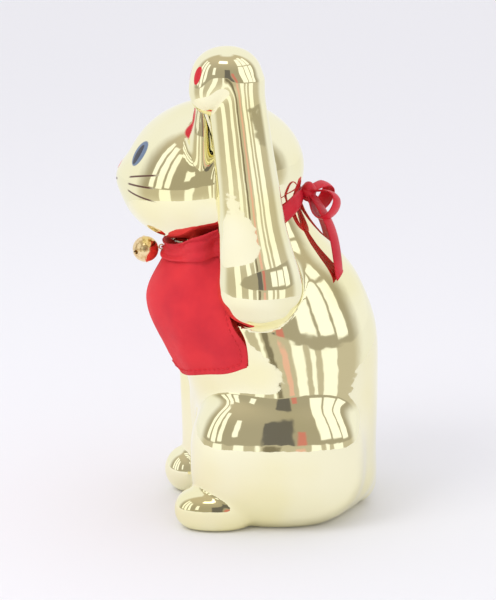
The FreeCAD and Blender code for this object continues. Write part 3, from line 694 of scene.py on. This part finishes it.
def stitching(points):
    """Running stitches: short round dashes of thread along a line inside the cloth's free edge.

    The line runs down one side of the grid, along its foot and up the other side. Each dash is
    a circle of six points carried over five steps, thin at both ends.
    """
    columns, rows = STITCH_INSET
    foot = len(points) - 1 - rows
    side_rows = np.arange(8, foot)
    line = np.concatenate([points[side_rows, columns], points[foot, columns:-columns - 1],
                           points[side_rows[::-1], -columns - 1]])
    down, over = np.gradient(points, axis=0), np.gradient(points, axis=1)
    normal = np.cross(over, down)
    normal /= np.linalg.norm(normal, axis=-1, keepdims=True)
    normal *= np.sign(normal[..., 1:2].mean()) * -1
    out = np.concatenate([normal[side_rows, columns], normal[foot, columns:-columns - 1],
                          normal[side_rows[::-1], -columns - 1]])
    length = np.concatenate([[0], np.cumsum(np.linalg.norm(np.diff(line, axis=0), axis=1))])
    starts = np.arange(0.5, length[-1] - STITCH_PITCH, STITCH_PITCH)
    share = np.linspace(0, 1, 5)
    at = (starts[:, None] + share * STITCH_LENGTH).ravel()
    path = np.stack([np.interp(at, length, line[:, k]) for k in range(3)], -1).reshape(-1, 5, 3)
    up = np.stack([np.interp(at, length, out[:, k]) for k in range(3)], -1).reshape(-1, 5, 3)
    up /= np.linalg.norm(up, axis=-1, keepdims=True)
    along = path[:, -1:] - path[:, :1]
    across = np.cross(along, up)
    across /= np.linalg.norm(across, axis=-1, keepdims=True)
    sunk = 0.42 + 0.16 * np.sin(math.pi * share)
    path = path + sunk[None, :, None] * up
    turn = np.linspace(0, 2 * math.pi, 7)[:-1]
    stout = STITCH_RADIUS * np.sqrt(np.sin(math.pi * (0.1 + 0.8 * share)))
    ring = (np.cos(turn)[:, None] * across[:, :, None] + np.sin(turn)[:, None] * up[:, :, None])
    dashes = path[:, :, None] + stout[None, :, None, None] * ring
    one = [np.array(face) for face in grid_faces(5, 6, round_columns=True)]
    one += [np.arange(5, -1, -1), np.arange(24, 30)]
    faces = [face + 30 * k for k in range(len(starts)) for face in one]
    return mesh_piece("bib_stitches", dashes.reshape(-1, 3), faces)


def strap(name, path, face, width, thickness, cup=0.0):
    """A flat ribbon: a line across each point of a path, square to it and to its face.

    cup bows the ribbon's middle out along the face by that much.
    """
    along = np.gradient(path, axis=0)
    along /= np.linalg.norm(along, axis=-1, keepdims=True)
    across = np.cross(along, face)
    across /= np.linalg.norm(across, axis=-1, keepdims=True)
    out = np.cross(across, along)
    lanes = np.linspace(-0.5, 0.5, 13)
    wide = np.broadcast_to(np.asarray(width, float), (len(path),))[:, None] * lanes
    bow = (0.25 - lanes**2) * 4 * np.broadcast_to(np.asarray(cup, float), (len(path),))[:, None]
    points = path[:, None] + wide[..., None] * across[:, None] + bow[..., None] * out[:, None]
    flat = np.stack([run_length(points, 0), wide], -1)
    return cloth_piece(name, points, flat, thickness), points


def through(stops, count):
    """A smooth path through a few points, evenly stepped between them."""
    stops = np.asarray(stops, float)
    steps = np.concatenate([[0], np.cumsum(np.linalg.norm(np.diff(stops, axis=0), axis=1))])
    at = np.linspace(0, steps[-1], count)
    return np.stack([natural_curve(steps, stops[:, k], at) for k in range(3)], -1)


KNOT = (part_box("bow_knot")[0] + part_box("bow_knot")[1]) / 2 / MM
KNOT = np.array(KNOT) + np.array([0, 0.6, 0])
RIBBON_WIDTH = 7.2


def neck_ribbon():
    """The ribbon behind the neck: a strap round the collar circle that rises to the knot."""
    turn = np.radians(np.linspace(104, 256, 121))
    rear = np.abs(np.degrees(turn) - 180)
    rise = 4.6 * ease(rear, 62, 8)
    path = clear_of_cat(collar(turn, rise), 0.9)
    face = np.stack([np.sin(turn), -np.cos(turn), 0.25 + 0 * turn], -1)
    width = RIBBON_WIDTH * (1 - 0.35 * ease(rear, 22, 4))
    return strap("neck_ribbon_satin", path, face, width, 0.5, 0.35)[0]


def bow_loop(name, side, heading, spread, length, bulge):
    """A ribbon loop: a teardrop path out from the knot and back, puffed out in the middle.

    Out along heading by a cosine's swing, and to either side by a sine's, narrow at the knot.
    """
    heading = np.asarray(heading, float) / np.linalg.norm(heading)
    spread = np.asarray(spread, float)
    spread = spread - heading * (spread @ heading)
    spread /= np.linalg.norm(spread)
    angle = np.linspace(0.04, 2 * math.pi - 0.04, 91)
    far = (1 - np.cos(angle)) / 2
    wide = np.sin(angle) * (1 - np.cos(angle)) ** 0.6 * 0.62
    path = KNOT + side + np.outer(far * length, heading) + np.outer(wide * bulge, spread)
    face = np.outer(np.sin(angle), spread) + np.outer(-np.cos(angle), heading)
    width = RIBBON_WIDTH * (0.55 + 0.5 * far)
    return strap(name, path, face, width, 0.45, 0.7 * far)[0]


def bow_knot():
    """The knot: an oval ball of ribbon with two wraps, drawn in between them.

    A sphere's two angles, with the radius let out along two bands that cross it.
    """
    up = np.linspace(0, math.pi, 41)[:, None]
    turn = np.linspace(0, 2 * math.pi, 65)[None, :-1]
    x, y, z = np.sin(up) * np.cos(turn), np.sin(up) * np.sin(turn), np.cos(up) + 0 * turn
    crease = np.abs(np.sin(2.4 * (z + 0.45 * x) * math.pi / 2 + 0.6))
    radius = 0.86 + 0.16 * crease**0.7
    points = np.stack([x * 4.3, y * 3.7, z * 4.7], -1) * radius[..., None] + KNOT
    flat = np.stack([turn * 4 + 0 * up, up * 4.5 + 0 * turn], -1)
    piece = cloth_piece("bow_knot_satin", points, flat, closed=True)
    return piece


def ribbon_tail(name, stops, face, width, slant):
    """A ribbon's free end that hangs down the back, cut on a slant."""
    path = clear_of_cat(through(stops, 81), 0.8)
    piece, points = strap(name, path, face, width, 0.45, 0.5)
    mesh_points = points.copy()
    lanes = np.linspace(-0.5, 0.5, points.shape[1])
    share = np.linspace(0, 1, len(path))[:, None]
    last = path[-1] - path[-6]
    last /= np.linalg.norm(last)
    mesh_points += (slant * lanes[None, :] * share**6)[..., None] * last
    piece.data.vertices.foreach_set("co", (mesh_points.reshape(-1, 3) * MM).ravel())
    piece.data.update()
    return piece


band_piece, band_points = neckband()
dress(band_piece, bib_cotton, "red_cloth", "cat", "bib_neckband")
band_length = float(run_length(band_points, 0)[-1].mean()) * MM
band_width = float(run_length(band_points, 1)[:, -1].mean()) * MM
bib_piece, bib_points = bib()
dress(bib_piece, bib_cotton, "red_cloth", "cat", "bib_panel")
bib_width = float(run_length(bib_points, 1)[:, -1].max()) * MM
bib_length = float(run_length(bib_points, 0)[-1].max()) * MM
stitches = dress(stitching(bib_points), spun_thread(), "red_cloth", "cat")
dress(neck_ribbon(), ribbon_satin, "red_satin", "cat", "neck_ribbon")
dress(bow_knot(), ribbon_satin, "red_satin", "cat", "bow_knot")
dress(bow_loop("bow_loop_left_satin", (1.5, 0.5, 0.5), (0.55, 0.66, -0.50), (0.1, 0.6, 0.75), 15.5, 9.0),
      ribbon_satin, "red_satin", "cat", "bow_loop_left")
dress(bow_loop("bow_loop_right_satin", (-1.5, 0.5, 0.6), (-0.72, 0.52, -0.36), (-0.1, 0.5, 0.85), 14.5, 8.5),
      ribbon_satin, "red_satin", "cat", "bow_loop_right")
TAIL_LEFT = [KNOT + (1.5, 2.0, -1.5), (6.5, 33.5, 141.5), (11.5, 37.8, 133.0), (16.5, 40.0, 123.0),
             (20.5, 41.2, 113.5)]
TAIL_RIGHT = [KNOT + (-1.5, 1.5, -1.5), (-5.5, 31.0, 141.0), (-11.0, 35.0, 132.0), (-16.0, 38.0, 121.5)]
dress(ribbon_tail("ribbon_tail_left_satin", TAIL_LEFT, (0.55, 0.8, 0.25), 6.8, 5.5),
      ribbon_satin, "red_satin", "cat", "ribbon_tail_left")
dress(ribbon_tail("ribbon_tail_right_satin", TAIL_RIGHT, (-0.5, 0.8, 0.3), 6.8, -5.5),
      ribbon_satin, "red_satin", "cat", "ribbon_tail_right")


def pressed_brass(name, rough):
    """Bright pressed brass with drawing marks and a little tarnish in places."""
    material = bpy.data.materials.new(name)
    tree = Tree(material)
    here = tree.place()
    tarnish = tree.noise(here, 0.5, 4.0)
    marks = tree.noise(tree.place(scale=(1, 9, 9)), 1.2, 3.0)
    base = tree.mix(tarnish.ramp(0.45, 0.75), (0.92, 0.73, 0.42, 1), (0.74, 0.50, 0.24, 1))
    tree.finish({"Base Color": base, "Metallic": 1.0,
                 "Roughness": rough + 0.16 * tarnish.ramp(0.5, 0.8),
                 "Normal": tree.bump(marks, 0.02, 0.6)})
    return material


def ball_steel():
    """A plain rolled steel ball, faintly scuffed."""
    material = bpy.data.materials.new("ball_steel")
    tree = Tree(material)
    scuff = tree.noise(tree.place(), 2.5, 4.0)
    tree.finish({"Base Color": (0.6, 0.6, 0.62, 1), "Metallic": 1.0,
                 "Roughness": 0.22 + 0.2 * scuff, "Normal": tree.bump(scuff, 0.01)})
    return material


bell_brass = pressed_brass("bell_brass", 0.14)
for node, finish in (("bell_back_shell", bell_brass), ("bell_front_shell", bell_brass),
                     ("bell_loop", pressed_brass("bail_wire", 0.2)), ("bell_thread", spun_thread()),
                     ("bell_pellet", ball_steel())):
    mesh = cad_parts[node].data
    mesh.materials.clear()
    mesh.materials.append(finish)


# ---------------------------------------------------------------- floor, light and camera
TABLE_RADIUS, FLOOR_RADIUS = 430, 7000


def floor():
    """A plain pale floor in two parts; only the near disc is mirrored in the glaze."""
    turn = np.linspace(0, 2 * math.pi, 97)[:-1]
    material = bpy.data.materials.new("studio_white")
    tree = Tree(material)
    tree.finish({"Base Color": colour(243, 242, 245), "Roughness": 0.9})
    near = np.column_stack([TABLE_RADIUS * np.cos(turn), TABLE_RADIUS * np.sin(turn),
                            0 * turn - 0.02])
    far = near * (FLOOR_RADIUS / TABLE_RADIUS, FLOOR_RADIUS / TABLE_RADIUS, 1)
    table = mesh_piece("studio_table", near, [np.arange(len(near))])
    rows = np.arange(len(turn))
    after = (rows + 1) % len(turn)
    ring = np.column_stack([rows, rows + len(turn), after + len(turn), after])
    surround = mesh_piece("studio_floor", np.concatenate([near, far]), list(ring))
    surround.visible_glossy = False
    for piece in (table, surround):
        piece.data.materials.append(material)


def studio():
    """Pale light all round; what the glaze mirrors is a dim room with bright windows."""
    world = bpy.data.worlds.new("studio")
    bpy.context.scene.world = world
    tree = Tree(world)
    ray = tree.node("ShaderNodeTexCoord", None, None, 0)
    x, y, z = tree.parts(ray)
    bearing = y.maths("ARCTAN2", y, x) * (180 / math.pi)
    climb = z.maths("ARCSINE", z) * (180 / math.pi)

    def panel(first, last, low, high, edge=1.0):
        """One inside a block of bearing and height, in degrees, and zero outside it."""
        return (bearing.ramp(first - edge, first + edge) * bearing.ramp(last + edge, last - edge)
                * climb.ramp(low - edge, low + edge) * climb.ramp(high + edge, high - edge))

    def panels(blocks):
        """One inside any of several blocks."""
        lit = panel(*blocks[0])
        for block in blocks[1:]:
            lit = lit.most(panel(*block))
        return lit

    room = tree.mix(climb.ramp(14, 62), (0.42, 0.38, 0.31, 1), (0.58, 0.51, 0.41, 1))
    behind = bearing.size().ramp(88, 112).most(climb.ramp(74, 84))
    room = tree.mix(behind, room, (0.93, 0.93, 0.95, 1))
    panes = [(-84, -76, 2, 48), (-72, -62, 0, 46), (-58, -50, 2, 40), (-34, -27, 8, 30),
             (30, 46, 4, 34), (30, 46, 37, 62), (49, 66, 4, 34), (49, 66, 37, 66),
             (69, 84, 2, 32), (69, 84, 35, 60)]
    room = tree.mix(panels(panes), room, (1.15, 1.15, 1.12, 1))
    lamp = panel(-26, 2, 47, 56, 3)
    room = tree.mix(lamp, room, (2.6, 2.4, 2.1, 1))
    figure = panel(-5, 7, -6, 24)
    room = tree.mix(figure, room, (0.16, 0.15, 0.15, 1))
    room = tree.mix(panel(9, 15, -2, 12), room, (0.66, 0.24, 0.22, 1))
    below = tree.mix(climb.ramp(-8, -34), (0.58, 0.53, 0.44, 1), (0.80, 0.76, 0.67, 1))
    streaks = [(-30, -19, -60, 2), (-9, -6, -60, 0), (19, 30, -60, 2), (36, 41, -60, 2),
               (48, 66, -60, 2), (-66, -48, -60, 2)]
    below = tree.mix(panels(streaks), below, (1.1, 1.1, 1.06, 1))
    below = tree.mix(panel(8, 14, -60, -4), below, (0.86, 0.52, 0.46, 1))
    below = tree.mix(panel(-4, 1, -60, -2), below, (0.24, 0.21, 0.16, 1))
    below = tree.mix(bearing.size().ramp(88, 112), below, (0.9, 0.9, 0.92, 1))
    room = tree.mix(climb.ramp(-0.5, -1.5), room, below)
    mirror = tree.node("ShaderNodeLightPath", None, None, 3)
    pale = tree.mix(mirror, (0.93, 0.93, 0.96, 1), room)
    light = tree.node("ShaderNodeBackground", None, {"Color": pale, "Strength": 1.0})
    tree.node_output("ShaderNodeOutputWorld", light)


def camera():
    """Level with the cat's head, a little above it, looking at its left side."""
    lens = bpy.data.cameras.new("view")
    lens.lens = 113.4
    lens.sensor_width = 36
    lens.clip_start, lens.clip_end = 0.01, 100
    thing = bpy.data.objects.new("view", lens)
    thing.location = (0.85, 0, 0.3045)
    pitch = math.radians(13.68)
    look = Vector((-math.cos(pitch), 0, -math.sin(pitch)))
    thing.rotation_euler = look.to_track_quat("-Z", "Y").to_euler()
    bpy.context.scene.collection.objects.link(thing)
    bpy.context.scene.camera = thing


def softbox(name, place, target, size, power):
    """A wide lamp that lights cloth and floor but isn't mirrored in the glaze."""
    lamp = bpy.data.lights.new(name, "AREA")
    lamp.shape = "SQUARE"
    lamp.size = size
    lamp.energy = power
    thing = bpy.data.objects.new(name, lamp)
    thing.location = place
    thing.rotation_euler = (Vector(target) - Vector(place)).to_track_quat("-Z", "Y").to_euler()
    thing.visible_glossy = False
    bpy.context.scene.collection.objects.link(thing)


floor()
studio()
softbox("key_light", (0.5, -0.6, 0.9), (0, 0, 0.1), 0.5, 3.0)
camera()
bpy.context.scene.view_settings.view_transform = "Standard"
